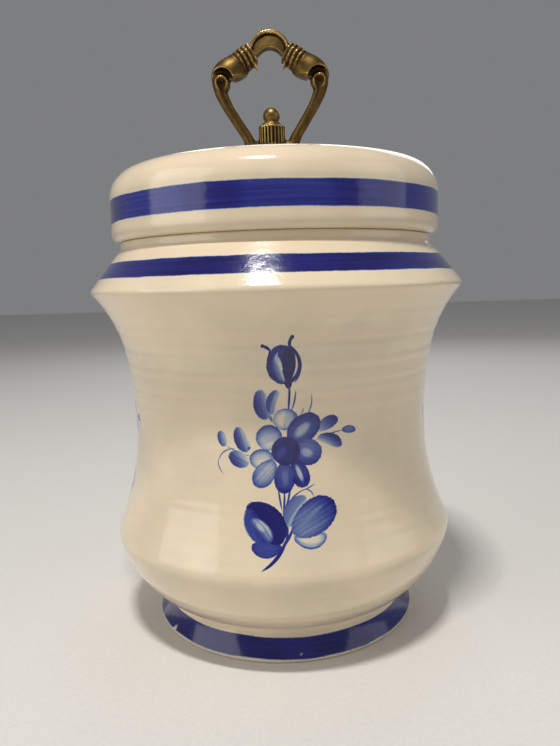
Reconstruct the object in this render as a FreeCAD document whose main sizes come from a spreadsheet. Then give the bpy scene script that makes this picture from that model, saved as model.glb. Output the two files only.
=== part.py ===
import FreeCAD, Part

import math
import os
from types import SimpleNamespace

import Sketcher
from FreeCAD import Placement, Rotation, Vector

# Glazed ceramic food canister with a lift-off lid and a cast brass ring handle.
# Millimetres, +Z up. The origin is the centre of the foot ring, on the surface the canister stands on.

doc = FreeCAD.newDocument("FoodCanister")

# ---------------------------------------------------------------- driving dimensions
# Radii are measured from the vertical axis, and levels are heights above the foot.
DIMENSIONS = {
    "wall": 6.5,
    # canister body, outside, from the foot up
    "foot_inner_radius": 52.0,
    "foot_face_radius": 64.2,
    "foot_radius": 65.2,
    "foot_edge": 1.0,
    "recess_radius": 50.5,
    "recess_depth": 3.5,
    "floor_level": 10.0,
    "floor_radius": 50.0,
    "neck_radius": 59.4,
    "neck_level": 12.2,
    "foot_flare_arc": 30.0,
    "bowl_arc": 50.4,
    "bowl_low_radius": 61.0,
    "bowl_low_level": 12.9,
    "bowl_top_radius": 83.5,
    "bowl_top_level": 43.6,
    "belly_arc": 8.0,
    "belly_top_radius": 83.0,
    "belly_top_level": 49.0,
    "lower_waist_arc": 117.0,
    "waist_radius": 72.3,
    "waist_level": 98.0,
    "upper_waist_arc": 186.0,
    "flare_radius": 75.4,
    "flare_level": 132.0,
    "flare_arc": 63.0,
    "shoulder_low_radius": 89.3,
    "shoulder_low_level": 160.9,
    "shoulder_top_radius": 89.35,
    "shoulder_top_level": 163.5,
    "shoulder_arc": 2.0,
    "collar_radius": 75.0,
    "collar_level": 181.6,
    "rim_level": 184.8,
    "rim_edge": 1.2,
    "mouth_radius": 68.5,
    "mouth_low_level": 178.0,
    "shoulder_inner_radius": 81.2,
    "shoulder_inner_level": 161.8,
    # lid
    "lid_radius": 78.5,
    "lid_low_edge": 3.5,
    "lid_side_top_level": 205.0,
    "lid_top_arc": 13.0,
    "lid_top_radius": 65.5,
    "lid_top_level": 217.6,
    "lid_centre_radius": 22.0,
    "lid_centre_level": 219.0,
    "lid_ceiling_level": 212.5,
    "lid_shelf_level": 191.0,
    "spigot_radius": 67.2,
    "spigot_bore_radius": 61.8,
    "spigot_level": 177.8,
    "lid_hole_radius": 3.5,
    # stud, washers and nut
    "stud_radius": 2.5,
    "stud_low_level": 203.0,
    "stud_top_level": 244.4,
    "pad_radius": 16.5,
    "pad_bore_radius": 3.2,
    "pad_thickness": 0.8,
    "inner_washer_radius": 11.0,
    "inner_washer_thickness": 1.6,
    "plain_washer_radius": 7.5,
    "plain_washer_thickness": 1.0,
    "washer_bore_radius": 2.75,
    "nut_across_flats": 8.0,
    "nut_height": 4.0,
    # ball finial
    "ball_radius": 4.1,
    "ball_level": 243.9,
    "finial_flange_radius": 4.8,
    "finial_flange_height": 1.5,
    # handle casting
    "base_radius": 19.0,
    "base_edge": 1.6,
    "base_dome_arc": 13.0,
    "base_top_radius": 8.6,
    "base_top_rise": 9.6,
    "column_radius": 6.3,
    "column_top_level": 239.2,
    "column_bore_radius": 2.9,
    "flute_radius": 0.55,
    "flute_low_level": 229.0,
    "leg_thickness_low": 3.2,
    "leg_thickness_mid": 2.6,
    "leg_thickness_top": 3.9,
    "leg_foot_across": 9.6,
    "leg_foot_level": 227.5,
    "leg_low_across": 11.6,
    "leg_low_level": 234.0,
    "leg_mid_across": 18.3,
    "leg_mid_level": 244.5,
    "leg_high_across": 23.6,
    "leg_high_level": 254.5,
    "leg_head_across": 23.9,
    "leg_head_level": 260.0,
    "scroll_radius": 7.9,
    "scroll_across": 19.7,
    "scroll_level": 263.0,
    "collar_fin_across": 11.6,
    "collar_fin_level": 269.9,
    "collar_fin_radius": 6.6,
    "collar_fin_thickness": 1.5,
    "collar_fin_pitch": 2.4,
    "collar_core_radius": 5.0,
    "collar_core_length": 9.5,
    "arch_radius": 9.9,
    "arch_level": 273.0,
    "arch_inner_radius": 6.4,
    "arch_inner_level": 268.2,
    "arch_depth": 6.4,
}

FLUTES = 16
COLLAR_LEAN_DEG = 122.6
HEX_SIDES = 6


def make_sheet(dimensions):
    """The driving dimensions in a spreadsheet, one row each, with the name as the value's alias."""
    sheet = doc.addObject("Spreadsheet::Sheet", "Dims")
    for row, (alias, value) in enumerate(dimensions.items(), start=1):
        sheet.set(f"A{row}", alias)
        sheet.set(f"B{row}", str(value))
        sheet.setAlias(f"B{row}", alias)
    return sheet


class Size:
    """A length with its value and the spreadsheet expression that it comes from."""

    def __init__(self, value, text):
        self.value = value
        self.text = text

    def __add__(self, other):
        return Size(self.value + other.value, f"{self.text} + {other.text}")

    def __sub__(self, other):
        return Size(self.value - other.value, f"{self.text} - ({other.text})")

    def __neg__(self):
        return Size(-self.value, f"-({self.text})")

    def half(self):
        return Size(self.value / 2, f"({self.text}) / 2")


make_sheet(DIMENSIONS)
dim = SimpleNamespace(**{name: Size(value, "Dims." + name) for name, value in DIMENSIONS.items()})
ZERO = Size(0.0, "0")
doc.recompute()


# ---------------------------------------------------------------- helpers
def run_between(start, end, radius, side):
    """A straight run, or an arc that bows to the left (side 1) or right (side -1) of the way to end."""
    if radius is None:
        return Part.LineSegment(start, end)
    chord = end - start
    left = Vector(-chord.y, chord.x, 0).normalize()
    half = chord.Length / 2
    bow = radius - math.sqrt(radius * radius - half * half)
    middle = (start + end) * 0.5 + left * side * bow
    if side > 0:
        return Part.Arc(end, middle, start)
    return Part.Arc(start, middle, end)


def fill_sketch(sketch, corners):
    """A closed outline through corners (across, up) or (across, up, arc, side).

    The arc is on the run to the next corner.
    """
    count = len(corners)
    points = [Vector(c[0].value, c[1].value, 0) for c in corners]
    arcs = [(c[2], c[3]) if len(c) == 4 else (None, 0) for c in corners]
    for i, (arc, side) in enumerate(arcs):
        radius = arc.value if arc else None
        sketch.addGeometry(run_between(points[i], points[(i + 1) % count], radius, side), False)
    for i, (arc, side) in enumerate(arcs):
        # a Sketcher arc always runs anticlockwise, so a run that bows left starts at its far end
        start_vertex = 2 if side > 0 else 1
        before = (i - 1) % count
        before_end = 1 if arcs[before][1] > 0 else 2
        sketch.addConstraint(Sketcher.Constraint("Coincident", before, before_end, i, start_vertex))
        for kind, axis, size in (("DistanceX", -2, corners[i][0]), ("DistanceY", -1, corners[i][1])):
            if size.value == 0:
                sketch.addConstraint(Sketcher.Constraint("PointOnObject", i, start_vertex, axis))
                continue
            index = sketch.addConstraint(Sketcher.Constraint(kind, -1, 1, i, start_vertex, size.value))
            sketch.setExpression(f"Constraints[{index}]", size.text)
        if arc:
            index = sketch.addConstraint(Sketcher.Constraint("Radius", i, arc.value))
            sketch.setExpression(f"Constraints[{index}]", arc.text)


def turned_body(label, corners):
    """A PartDesign body: the outline, drawn on the XZ plane, turned once round the vertical axis."""
    body = doc.addObject("PartDesign::Body", label)
    body.Label = label
    sketch = body.newObject("Sketcher::SketchObject", label + "_outline")
    plane = next(feature for feature in body.Origin.OriginFeatures if feature.Role == "XZ_Plane")
    sketch.AttachmentSupport = [(plane, "")]
    sketch.MapMode = "FlatFace"
    fill_sketch(sketch, corners)
    turn = body.newObject("PartDesign::Revolution", label + "_turn")
    turn.Profile = sketch
    turn.ReferenceAxis = (sketch, ["V_Axis"])
    turn.Angle = 360
    body.Tip = turn
    return body


def ring(label, inner, outer, low, high):
    """A flat washer."""
    return turned_body(label, [(inner, low), (outer, low), (outer, high), (inner, high)])


def place(feature, across=ZERO, up=ZERO, depth=ZERO, rotation=Rotation()):
    """Puts a primitive at (across, depth, up), bound to the sheet."""
    feature.Placement = Placement(Vector(across.value, depth.value, up.value), rotation)
    feature.setExpression("Placement.Base.x", across.text)
    feature.setExpression("Placement.Base.y", depth.text)
    feature.setExpression("Placement.Base.z", up.text)
    return feature


def primitive(kind, name, **sizes):
    """A Part primitive whose sizes are bound to the sheet."""
    feature = doc.addObject(kind, name)
    for key, size in sizes.items():
        feature.setExpression(key, size.text)
    return feature


def fuse(name, shapes):
    union = doc.addObject("Part::MultiFuse", name)
    union.Shapes = shapes
    return union


def cut(name, base, tool):
    remainder = doc.addObject("Part::Cut", name)
    remainder.Base = base
    remainder.Tool = tool
    return remainder


# ---------------------------------------------------------------- ceramic pieces
def make_canister_body():
    """Flared foot, bowl, drawn-in waist, shoulder and collar, hollow inside, with a recess under the foot."""
    d = dim
    outside = [
        (d.foot_inner_radius, ZERO),
        (d.foot_face_radius, ZERO),
        (d.foot_radius, d.foot_edge, d.foot_flare_arc, 1),
        (d.neck_radius, d.neck_level),
        (d.bowl_low_radius, d.bowl_low_level, d.bowl_arc, -1),
        (d.bowl_top_radius, d.bowl_top_level, d.belly_arc, -1),
        (d.belly_top_radius, d.belly_top_level, d.lower_waist_arc, 1),
        (d.waist_radius, d.waist_level, d.upper_waist_arc, 1),
        (d.flare_radius, d.flare_level, d.flare_arc, 1),
        (d.shoulder_low_radius, d.shoulder_low_level, d.shoulder_arc, -1),
        (d.shoulder_top_radius, d.shoulder_top_level),
        (d.collar_radius, d.collar_level),
        (d.collar_radius, d.rim_level - d.rim_edge, d.rim_edge, -1),
        (d.collar_radius - d.rim_edge, d.rim_level),
        (d.mouth_radius + d.rim_edge, d.rim_level, d.rim_edge, -1),
    ]
    inside = [
        (d.mouth_radius, d.rim_level - d.rim_edge),
        (d.mouth_radius, d.mouth_low_level),
        (d.shoulder_inner_radius, d.shoulder_inner_level, d.flare_arc + d.wall, -1),
        (d.flare_radius - d.wall, d.flare_level, d.upper_waist_arc + d.wall, -1),
        (d.waist_radius - d.wall, d.waist_level, d.lower_waist_arc + d.wall, -1),
        (d.belly_top_radius - d.wall, d.belly_top_level, d.bowl_arc - d.wall, 1),
        (d.floor_radius, d.floor_level),
        (ZERO, d.floor_level),
        (ZERO, d.recess_depth),
        (d.recess_radius, d.recess_depth),
    ]
    return turned_body("canister_body", outside + inside)


def make_lid():
    """A cap that rests on the rim, with a spigot inside that keeps it centred and a hole for the stud."""
    d = dim
    return turned_body(
        "lid",
        [
            (d.spigot_bore_radius, d.spigot_level),
            (d.spigot_radius, d.spigot_level),
            (d.spigot_radius, d.rim_level),
            (d.lid_radius - d.lid_low_edge, d.rim_level, d.lid_low_edge, -1),
            (d.lid_radius, d.rim_level + d.lid_low_edge),
            (d.lid_radius, d.lid_side_top_level, d.lid_top_arc, -1),
            (d.lid_top_radius, d.lid_top_level),
            (d.lid_centre_radius, d.lid_centre_level),
            (d.lid_hole_radius, d.lid_centre_level),
            (d.lid_hole_radius, d.lid_ceiling_level),
            (d.lid_top_radius, d.lid_ceiling_level, d.lid_top_arc - d.wall, 1),
            (d.lid_radius - d.wall, d.lid_side_top_level),
            (d.lid_radius - d.wall, d.lid_shelf_level),
            (d.spigot_bore_radius, d.lid_shelf_level),
        ],
    )


# ---------------------------------------------------------------- handle casting
def make_core():
    """The round domed base with the fluted column on it."""
    d = dim
    base_level = d.lid_centre_level + d.pad_thickness
    body = turned_body(
        "handle_core",
        [
            (ZERO, base_level),
            (d.base_radius, base_level),
            (d.base_radius, base_level + d.base_edge, d.base_dome_arc, 1),
            (d.base_top_radius, base_level + d.base_top_rise),
            (d.column_radius, base_level + d.base_top_rise),
            (d.column_radius, d.column_top_level),
            (ZERO, d.column_top_level),
        ],
    )
    flutes = []
    for i in range(FLUTES):
        angle = 360 * i / FLUTES
        flute = primitive(
            "Part::Cylinder",
            f"flute_{i}",
            Radius=d.flute_radius,
            Height=d.column_top_level - d.flute_low_level,
        )
        around = Placement(Vector(0, 0, 0), Rotation(Vector(0, 0, 1), angle))
        out = Placement(Vector(d.column_radius.value, 0, d.flute_low_level.value), Rotation())
        flute.Placement = around.multiply(out)
        flute.setExpression("Placement.Base.x", f"Dims.column_radius * cos({angle} deg)")
        flute.setExpression("Placement.Base.y", f"Dims.column_radius * sin({angle} deg)")
        flute.setExpression("Placement.Base.z", d.flute_low_level.text)
        flutes.append(flute)
    return cut("fluted_core", body, fuse("flutes", flutes))


def make_leg():
    """One leg: a round bar of changing thickness that leans out from the base and ends in a rounded head."""
    d = dim
    stations = [
        ("foot", d.leg_foot_across, d.leg_foot_level, d.leg_thickness_low),
        ("low", d.leg_low_across, d.leg_low_level, d.leg_thickness_mid),
        ("mid", d.leg_mid_across, d.leg_mid_level, d.leg_thickness_mid),
        ("high", d.leg_high_across, d.leg_high_level, d.leg_thickness_mid),
        ("head", d.leg_head_across, d.leg_head_level, d.leg_thickness_top),
    ]
    sections = []
    for i, (name, across, up, thickness) in enumerate(stations):
        before = stations[max(i - 1, 0)]
        after = stations[min(i + 1, len(stations) - 1)]
        along = Vector(after[1].value - before[1].value, 0, after[2].value - before[2].value)
        section = primitive("Part::Circle", f"leg_section_{name}", Radius=thickness)
        place(section, across, up, rotation=Rotation(Vector(0, 0, 1), along))
        sections.append(section)
    leg = doc.addObject("Part::Loft", "leg")
    leg.Sections = sections
    leg.Solid = True
    head = primitive("Part::Sphere", "leg_head", Radius=d.leg_thickness_top)
    place(head, d.leg_head_across, d.leg_head_level)
    return [leg, head]


def make_collar():
    """The ridged collar between scroll and arch: three round fins on a core, square to the ring's curve."""
    d = dim
    lean = Rotation(Vector(0, 1, 0), COLLAR_LEAN_DEG)
    along = lean.multVec(Vector(0, 0, 1))
    pieces = []
    for name, steps, radius, thickness in (
        ("core", 0, d.collar_core_radius, d.collar_core_length),
        ("fin_upper", -1, d.collar_fin_radius, d.collar_fin_thickness),
        ("fin_middle", 0, d.collar_fin_radius, d.collar_fin_thickness),
        ("fin_lower", 1, d.collar_fin_radius, d.collar_fin_thickness),
    ):
        disc = primitive("Part::Cylinder", f"collar_{name}", Radius=radius, Height=thickness)
        centre = f"({steps} * Dims.collar_fin_pitch - ({thickness.text}) / 2)"
        shift = along * (steps * d.collar_fin_pitch.value - thickness.value / 2)
        base = Vector(d.collar_fin_across.value, 0, d.collar_fin_level.value) + shift
        disc.Placement = Placement(base, lean)
        disc.setExpression("Placement.Base.x", f"Dims.collar_fin_across + {centre} * {along.x:.6f}")
        disc.setExpression("Placement.Base.z", f"Dims.collar_fin_level + {centre} * {along.z:.6f}")
        pieces.append(disc)
    return pieces


def make_arch():
    """The crescent arch at the top: thick in the middle and thin where it meets the collars."""
    d = dim
    across_y = Rotation(Vector(1, 0, 0), 90)
    outer = primitive("Part::Cylinder", "arch_outer", Radius=d.arch_radius, Height=d.arch_depth)
    place(outer, up=d.arch_level, depth=d.arch_depth.half(), rotation=across_y)
    twice_depth = d.arch_depth + d.arch_depth
    inner = primitive("Part::Cylinder", "arch_inner", Radius=d.arch_inner_radius, Height=twice_depth)
    place(inner, up=d.arch_inner_level, depth=d.arch_depth, rotation=across_y)
    return cut("arch", outer, inner)


def make_handle():
    """The brass casting: core, two mirrored legs with scrolls and collars, the arch, and the stud's bore."""
    d = dim
    scroll = primitive("Part::Sphere", "scroll", Radius=d.scroll_radius)
    place(scroll, d.scroll_across, d.scroll_level)
    right_side = fuse("right_side", make_leg() + [scroll] + make_collar())
    left_side = doc.addObject("Part::Mirroring", "left_side")
    left_side.Source = right_side
    left_side.Normal = Vector(1, 0, 0)
    casting = fuse("casting", [make_core(), right_side, left_side, make_arch()])
    bore = primitive(
        "Part::Cylinder",
        "stud_bore",
        Radius=d.column_bore_radius,
        Height=d.column_top_level - d.lid_centre_level,
    )
    place(bore, up=d.lid_centre_level)
    handle = cut("handle", casting, bore)
    handle.Label = "handle"
    return handle


# ---------------------------------------------------------------- small parts on the handle's stud
def make_ball_finial():
    """A ball with a small flange, and a blind hole that takes the stud's upper end."""
    d = dim
    flange_top = d.column_top_level + d.finial_flange_height
    joint_radius = Size(
        math.sqrt(d.ball_radius.value ** 2 - (d.ball_level - flange_top).value ** 2),
        f"sqrt(Dims.ball_radius ^ 2 - ({(d.ball_level - flange_top).text}) ^ 2)",
    )
    return turned_body(
        "ball_finial",
        [
            (d.stud_radius, d.column_top_level),
            (d.finial_flange_radius, d.column_top_level),
            (d.finial_flange_radius, flange_top),
            (joint_radius, flange_top, d.ball_radius, -1),
            (d.ball_radius, d.ball_level, d.ball_radius, -1),
            (ZERO, d.ball_level + d.ball_radius),
            (ZERO, d.stud_top_level),
            (d.stud_radius, d.stud_top_level),
        ],
    )


def make_stud():
    stud = primitive(
        "Part::Cylinder",
        "stud",
        Radius=dim.stud_radius,
        Height=dim.stud_top_level - dim.stud_low_level,
    )
    stud.Label = "stud"
    return place(stud, up=dim.stud_low_level)


def make_hex_nut(top):
    low = top - dim.nut_height
    prism = doc.addObject("Part::Prism", "nut_blank")
    prism.Polygon = HEX_SIDES
    prism.setExpression("Circumradius", "Dims.nut_across_flats / sqrt(3)")
    prism.setExpression("Height", dim.nut_height.text)
    place(prism, up=low)
    thread = primitive("Part::Cylinder", "nut_thread", Radius=dim.stud_radius, Height=dim.nut_height)
    place(thread, up=low)
    nut = cut("hex_nut", prism, thread)
    nut.Label = "hex_nut"
    return nut


def make_pieces():
    d = dim
    pad_top = d.lid_centre_level + d.pad_thickness
    ceiling = d.lid_ceiling_level
    inner_washer_low = ceiling - d.inner_washer_thickness
    plain_washer_low = inner_washer_low - d.plain_washer_thickness
    return [
        make_canister_body(),
        make_lid(),
        make_handle(),
        make_ball_finial(),
        make_stud(),
        ring("handle_pad", d.pad_bore_radius, d.pad_radius, d.lid_centre_level, pad_top),
        ring("inner_washer", d.washer_bore_radius, d.inner_washer_radius, inner_washer_low, ceiling),
        ring("plain_washer", d.washer_bore_radius, d.plain_washer_radius, plain_washer_low, inner_washer_low),
        make_hex_nut(plain_washer_low),
    ]


def check_document():
    for item in doc.Objects:
        for bad in ("Invalid", "Error"):
            if bad in item.State:
                raise RuntimeError(f"{item.Name} is {item.State}")


def write_pieces(pieces):
    os.makedirs("parts", exist_ok=True)
    for piece in pieces:
        shape = piece.Shape
        if shape.isNull() or not shape.isValid() or not shape.Solids:
            raise RuntimeError(f"{piece.Label} has no valid solid")
        shape.exportStep(f"parts/{piece.Label}.step")
        print(f"{piece.Label}: {len(shape.Solids)} solid, {shape.Volume / 1000:.2f} cm3, {shape.BoundBox}")


pieces = make_pieces()
doc.recompute()
check_document()
write_pieces(pieces)
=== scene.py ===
import math

import bpy
import numpy as np
from mathutils import Matrix, Vector


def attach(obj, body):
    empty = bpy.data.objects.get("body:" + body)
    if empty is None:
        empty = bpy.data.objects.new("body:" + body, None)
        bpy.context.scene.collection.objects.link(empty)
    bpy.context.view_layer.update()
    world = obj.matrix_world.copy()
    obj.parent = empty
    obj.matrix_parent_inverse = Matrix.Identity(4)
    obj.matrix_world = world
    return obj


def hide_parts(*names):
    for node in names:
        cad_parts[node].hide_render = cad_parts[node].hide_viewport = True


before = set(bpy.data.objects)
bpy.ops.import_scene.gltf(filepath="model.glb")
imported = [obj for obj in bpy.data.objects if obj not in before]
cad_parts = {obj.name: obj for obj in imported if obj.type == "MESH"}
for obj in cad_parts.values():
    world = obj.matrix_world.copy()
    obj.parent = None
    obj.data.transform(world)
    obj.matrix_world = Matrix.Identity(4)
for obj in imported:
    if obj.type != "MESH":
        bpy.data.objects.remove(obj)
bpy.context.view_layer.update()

# Glazed food canister: thrown pot and lid, brush-painted in cobalt, with a cast brass ring handle.
# Shapes are drawn in millimetres and turned into metres when their mesh is made.
MM = 0.001


# ---------------------------------------------------------------- node graphs
class Graph:
    """Short calls for adding shader nodes: an input is a number, a vector, or another node's output."""

    def __init__(self, tree):
        self.tree = tree

    def add(self, kind, inputs=None, **settings):
        node = self.tree.nodes.new(kind)
        for key, value in settings.items():
            setattr(node, key, value)
        for key, value in (inputs or {}).items():
            self.feed(node.inputs[key], value)
        return node

    def feed(self, socket, value):
        if isinstance(value, bpy.types.NodeSocket):
            self.tree.links.new(value, socket)
        else:
            socket.default_value = value

    def math(self, operation, *values):
        node = self.add("ShaderNodeMath", dict(enumerate(values)), operation=operation)
        return node.outputs[0]

    def dot(self, first, second):
        node = self.add("ShaderNodeVectorMath", {0: first, 1: second}, operation="DOT_PRODUCT")
        return node.outputs["Value"]

    def clamp(self, value):
        return self.add("ShaderNodeClamp", {0: value}).outputs[0]

    def combine(self, x, y, z):
        return self.add("ShaderNodeCombineXYZ", {0: x, 1: y, 2: z}).outputs[0]

    def noise(self, where, scale, detail=2.0, roughness=0.5):
        inputs = {"Vector": where, "Scale": scale, "Detail": detail, "Roughness": roughness}
        return self.add("ShaderNodeTexNoise", inputs).outputs["Fac"]

    def swing(self, where, scale, detail=2.0, roughness=0.5):
        """Noise that swings round 0."""
        return self.math("SUBTRACT", self.noise(where, scale, detail, roughness), 0.5)

    def bump(self, height, strength, distance_mm):
        inputs = {"Height": height, "Strength": strength, "Distance": distance_mm * MM}
        return self.add("ShaderNodeBump", inputs).outputs[0]

    def step(self, value, low, high):
        """0 below low and 1 above high, with a soft step between; low may be above high."""
        inputs = {"Value": value, "From Min": low, "From Max": high}
        return self.add("ShaderNodeMapRange", inputs, interpolation_type="SMOOTHSTEP").outputs[0]

    def blend(self, factor, first, second):
        """From first to second, two plain numbers."""
        node = self.add("ShaderNodeMix", {0: factor, 2: first, 3: second}, data_type="FLOAT")
        return node.outputs[0]

    def tint(self, factor, first, second):
        """From first to second, two colours."""
        node = self.add("ShaderNodeMix", {0: factor, 6: first, 7: second}, data_type="RGBA")
        return node.outputs[2]

    def ramp(self, factor, stops):
        node = self.add("ShaderNodeValToRGB", {"Fac": factor})
        elements = node.color_ramp.elements
        while len(elements) < len(stops):
            elements.new(0.5)
        for element, (position, color) in zip(elements, stops):
            element.position = position
            element.color = color
        return node.outputs["Color"]


def srgb(red, green, blue):
    """A colour given as the usual 0 to 255 screen values, as the linear RGBA that shaders take."""
    linear = []
    for value in (red, green, blue):
        share = value / 255
        linear.append(share / 12.92 if share <= 0.04045 else ((share + 0.055) / 1.055) ** 2.4)
    return (*linear, 1.0)


def new_material(name, **shader_values):
    """A material with one Principled shader; returns it, its graph and the shader."""
    material = bpy.data.materials.new(name)
    material.use_nodes = True
    material.node_tree.nodes.clear()
    graph = Graph(material.node_tree)
    shader = graph.add("ShaderNodeBsdfPrincipled")
    for key, value in shader_values.items():
        shader.inputs[key.replace("_", " ")].default_value = value
    output = graph.add("ShaderNodeOutputMaterial")
    graph.tree.links.new(shader.outputs[0], output.inputs["Surface"])
    return material, graph, shader


def object_place(graph):
    """The point's place on the object, in millimetres."""
    inputs = {0: graph.add("ShaderNodeTexCoord").outputs["Object"], "Scale": 1 / MM}
    return graph.add("ShaderNodeVectorMath", inputs, operation="SCALE").outputs[0]


# ---------------------------------------------------------------- brush strokes
def make_stroke_group(streaked):
    """One brush stroke, laid over the pigment that is already there (Under).

    The stroke is an ellipse: a circle of radius one in the distances that Axis and Side measure, bent by
    Bow and thinned to one end by Taper. Its pigment is Tone in the middle, more to its end (Along), its
    left (Across) and its outline (Rim). A broad stroke is streaked too, along its length.
    """
    group = bpy.data.node_groups.new("brush_stroke" if streaked else "brush_line", "ShaderNodeTree")
    sockets = [(name, "NodeSocketVector") for name in ("Where", "Axis", "Side")]
    names = ["Grain", "Under", "Bow", "Taper", "Tone", "Along", "Across", "Rim", "Soft"]
    if streaked:
        names += ["Streak", "Seed"]
    sockets += [(name, "NodeSocketFloat") for name in names]
    for name, kind in sockets:
        group.interface.new_socket(name, in_out="INPUT", socket_type=kind)
    group.interface.new_socket("Pigment", in_out="OUTPUT", socket_type="NodeSocketFloat")
    graph = Graph(group)
    given = graph.add("NodeGroupInput").outputs
    along = graph.dot(given["Where"], given["Axis"])
    side = graph.dot(given["Where"], given["Side"])
    along_squared = graph.math("MULTIPLY", along, along)
    straight = graph.math("MULTIPLY_ADD", along_squared, given["Bow"], side)
    thinning = graph.math("MULTIPLY_ADD", along, given["Taper"], 1.0)
    side = graph.math("DIVIDE", straight, thinning)
    spread = graph.math("MULTIPLY_ADD", side, side, along_squared)
    ragged = graph.math("ADD", given["Grain"], spread)
    low = graph.math("ADD", given["Soft"], 1.0)
    high = graph.math("SUBTRACT", 1.0, given["Soft"])
    mask = graph.step(ragged, low, high)
    tone = graph.math("MULTIPLY_ADD", along, given["Along"], given["Tone"])
    tone = graph.math("MULTIPLY_ADD", side, given["Across"], tone)
    if streaked:
        hair = graph.math("MULTIPLY_ADD", along, 0.5, given["Seed"])
        hair = graph.math("MULTIPLY_ADD", side, 2.6, hair)
        inputs = {"W": hair, "Scale": 1.0, "Detail": 2.0, "Roughness": 0.7}
        streaks = graph.add("ShaderNodeTexNoise", inputs, noise_dimensions="1D").outputs["Fac"]
        streaks = graph.math("SUBTRACT", streaks, 0.5)
        tone = graph.math("MULTIPLY_ADD", streaks, given["Streak"], tone)
    squared = graph.math("MULTIPLY", spread, spread)
    inputs = {0: squared, 1: given["Rim"], 2: tone}
    tone = graph.add("ShaderNodeMath", inputs, operation="MULTIPLY_ADD", use_clamp=True).outputs[0]
    laid = graph.blend(mask, given["Under"], tone)
    result = graph.add("NodeGroupOutput")
    graph.feed(result.inputs["Pigment"], laid)
    return group


def line(start, end, width=0.8, bow=0.0, tone=0.7):
    """A thin brush line."""
    return stroke(start, end, width, bow, tone, streak=0.0, soft_mm=0.22)


def stroke(start, end, width, bow=0.0, tone=0.6, along=0.0, across=0.0, rim=0.0, taper=0.0,
           streak=0.3, soft_mm=0.35):
    """A stroke from start to end, in millimetres of (round the pot, up); bow and across are to its left."""
    return dict(start=start, end=end, width=width, bow=bow, tone=tone, along=along, across=across, rim=rim,
                taper=taper, streak=streak, soft_mm=soft_mm)


BUD = [
    stroke((2.5, 124.4), (0.9, 140.7), 12.8, tone=0.84, across=0.08, taper=-0.1, streak=0.15),
    stroke((1.9, 125.4), (-0.9, 136.6), 4.4, bow=0.9, tone=0.38, across=0.42, streak=0.2, soft_mm=0.8),
    stroke((3.9, 124.6), (4.0, 140.2), 5.6, bow=-0.2, tone=0.97, streak=0.08),
    line((0.0, 137.8), (-0.5, 133.2), 0.85, -0.5, 0.22),
    line((-0.6, 133.7), (1.5, 130.4), 0.85, 0.3, 0.14),
    line((6.4, 137.0), (5.0, 127.0), 0.85, 1.2, 0.1),
    line((-6.5, 140.7), (-2.8, 138.4), 1.3, 0.4, 0.95),
    line((-3.1, 139.2), (-4.4, 134.4), 1.1, 0.5, 0.93),
    line((-6.5, 140.8), (-5.3, 140.3), 1.5, 0.0, 0.98),
    line((5.2, 144.4), (4.4, 139.4), 1.3, -0.5, 0.95),
    line((5.4, 144.6), (4.8, 142.9), 1.6, 0.0, 0.98),
    line((4.2, 140.8), (6.2, 125.4), 1.4, 2.9, 0.95),
    stroke((3.3, 126.2), (3.7, 122.4), 2.8, tone=0.97, taper=-0.3, streak=0.08),
    line((3.9, 124.2), (3.2, 113.4), 0.95, 0.3, 0.82),
    line((6.4, 121.6), (4.5, 113.4), 0.7, 0.4, 0.62),
]
UPPER_LEAVES = [
    line((-5.1, 112.8), (-3.4, 109.0), 1.2, 0.2, 0.5),
    stroke((-5.9, 110.2), (-8.0, 122.3), 7.0, tone=0.55, along=-0.06, across=0.42, taper=-0.08, soft_mm=0.6),
    stroke((-3.6, 112.3), (-1.0, 122.1), 5.0, bow=0.5, tone=0.44, across=0.44, soft_mm=0.6),
    line((9.4, 114.5), (8.4, 111.8), 0.5, 0.1, 0.5),
    line((12.4, 119.6), (10.6, 111.4), 0.6, 0.8, 0.52),
]
SIDE_SPRIGS = [
    line((-22.6, 98.6), (-12.4, 95.0), 0.6, -0.4, 0.55),
    line((-19.4, 97.8), (-26.9, 92.2), 0.6, -1.4, 0.55),
    line((-26.9, 92.8), (-25.0, 87.3), 0.55, -0.7, 0.52),
    stroke((-25.4, 105.1), (-23.7, 98.4), 4.1, tone=0.42, across=-0.34, rim=0.12, soft_mm=0.5),
    stroke((-17.8, 107.1), (-13.8, 96.8), 6.5, bow=-0.3, tone=0.52, across=-0.5, taper=0.12, soft_mm=0.5),
    line((-13.7, 98.0), (-12.4, 98.7), 1.0, 0.0, 0.66),
    stroke((-21.8, 95.0), (-13.4, 92.0), 6.9, tone=0.52, along=-0.32, across=-0.3, soft_mm=0.6),
    line((15.0, 100.9), (27.0, 103.7), 0.6, 0.7, 0.55),
    stroke((15.2, 105.0), (23.9, 109.4), 5.4, bow=0.4, tone=0.6, along=0.36, across=0.05, taper=0.1),
    stroke((15.2, 101.9), (25.7, 97.4), 5.4, bow=0.9, tone=0.58, along=0.2, across=0.42, taper=0.1,
           soft_mm=0.5),
    stroke((26.0, 104.0), (32.4, 103.2), 3.2, bow=0.2, tone=0.52, rim=0.25),
]
STEMS = [
    line((-1.8, 81.6), (-0.2, 73.0), 0.75, -0.2, 0.66),
    line((0.6, 80.6), (0.5, 70.6), 0.85, 0.0, 0.72),
    line((2.9, 83.2), (0.9, 73.2), 0.85, 0.4, 0.66),
    line((0.6, 72.4), (0.9, 60.0), 1.0, 0.9, 0.8),
    line((1.2, 62.2), (-8.2, 50.3), 1.4, 1.3, 0.84),
    line((4.0, 66.4), (-1.4, 58.2), 1.1, 0.6, 0.78),
    line((1.5, 73.6), (9.2, 81.0), 0.65, 1.4, 0.62),
    line((8.4, 80.9), (12.4, 77.6), 0.6, 1.1, 0.55),
    line((8.2, 80.6), (13.1, 82.8), 0.55, -0.2, 0.55),
]
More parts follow.
